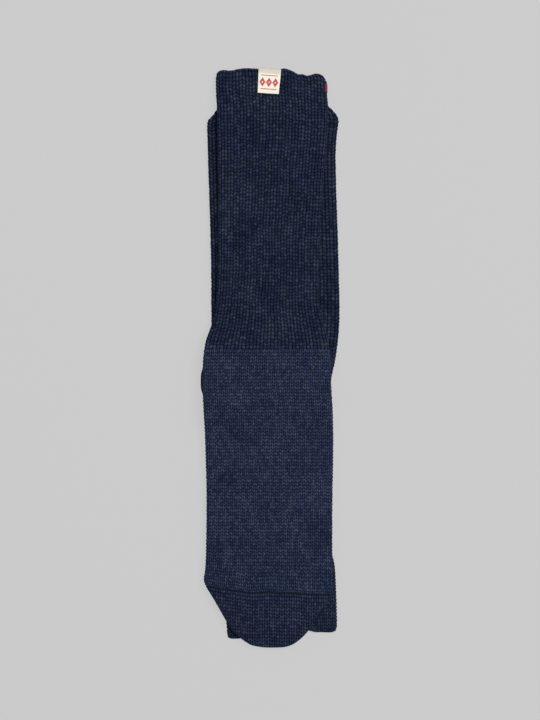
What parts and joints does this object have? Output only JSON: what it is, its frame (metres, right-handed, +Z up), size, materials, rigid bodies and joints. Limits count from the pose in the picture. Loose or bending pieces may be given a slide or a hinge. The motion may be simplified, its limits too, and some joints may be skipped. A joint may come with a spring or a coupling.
{
  "type": "pair of crew socks laid flat",
  "caption": "Chunky knitted crew socks laid flat one on the other, each with a ribbed leg, plain foot, folded heel pocket and linked toe, and a woven label folded over the upper cuff.",
  "frame": {"origin": "on the surface that the pair lies on, under the middle of its bounding box", "axes": "+X to the right as seen from above, +Y from the toes to the cuffs, +Z up from the surface"},
  "size_m": [0.1014, 0.4233, 0.0165],
  "materials": {
    "rib_knit": "heathered navy yarn in one-by-one rib",
    "foot_knit": "heathered navy yarn in plain knit",
    "label_weave": "ivory woven tape"
  },
  "bodies": {
    "root": {"lower_heel": "foot_knit", "lower_leg": "rib_knit", "lower_foot": "foot_knit", "lower_toe": "foot_knit", "upper_heel": "foot_knit", "upper_leg": "rib_knit", "upper_foot": "foot_knit", "upper_toe": "foot_knit", "upper_label": "label_weave"}
  },
  "joints": []
}
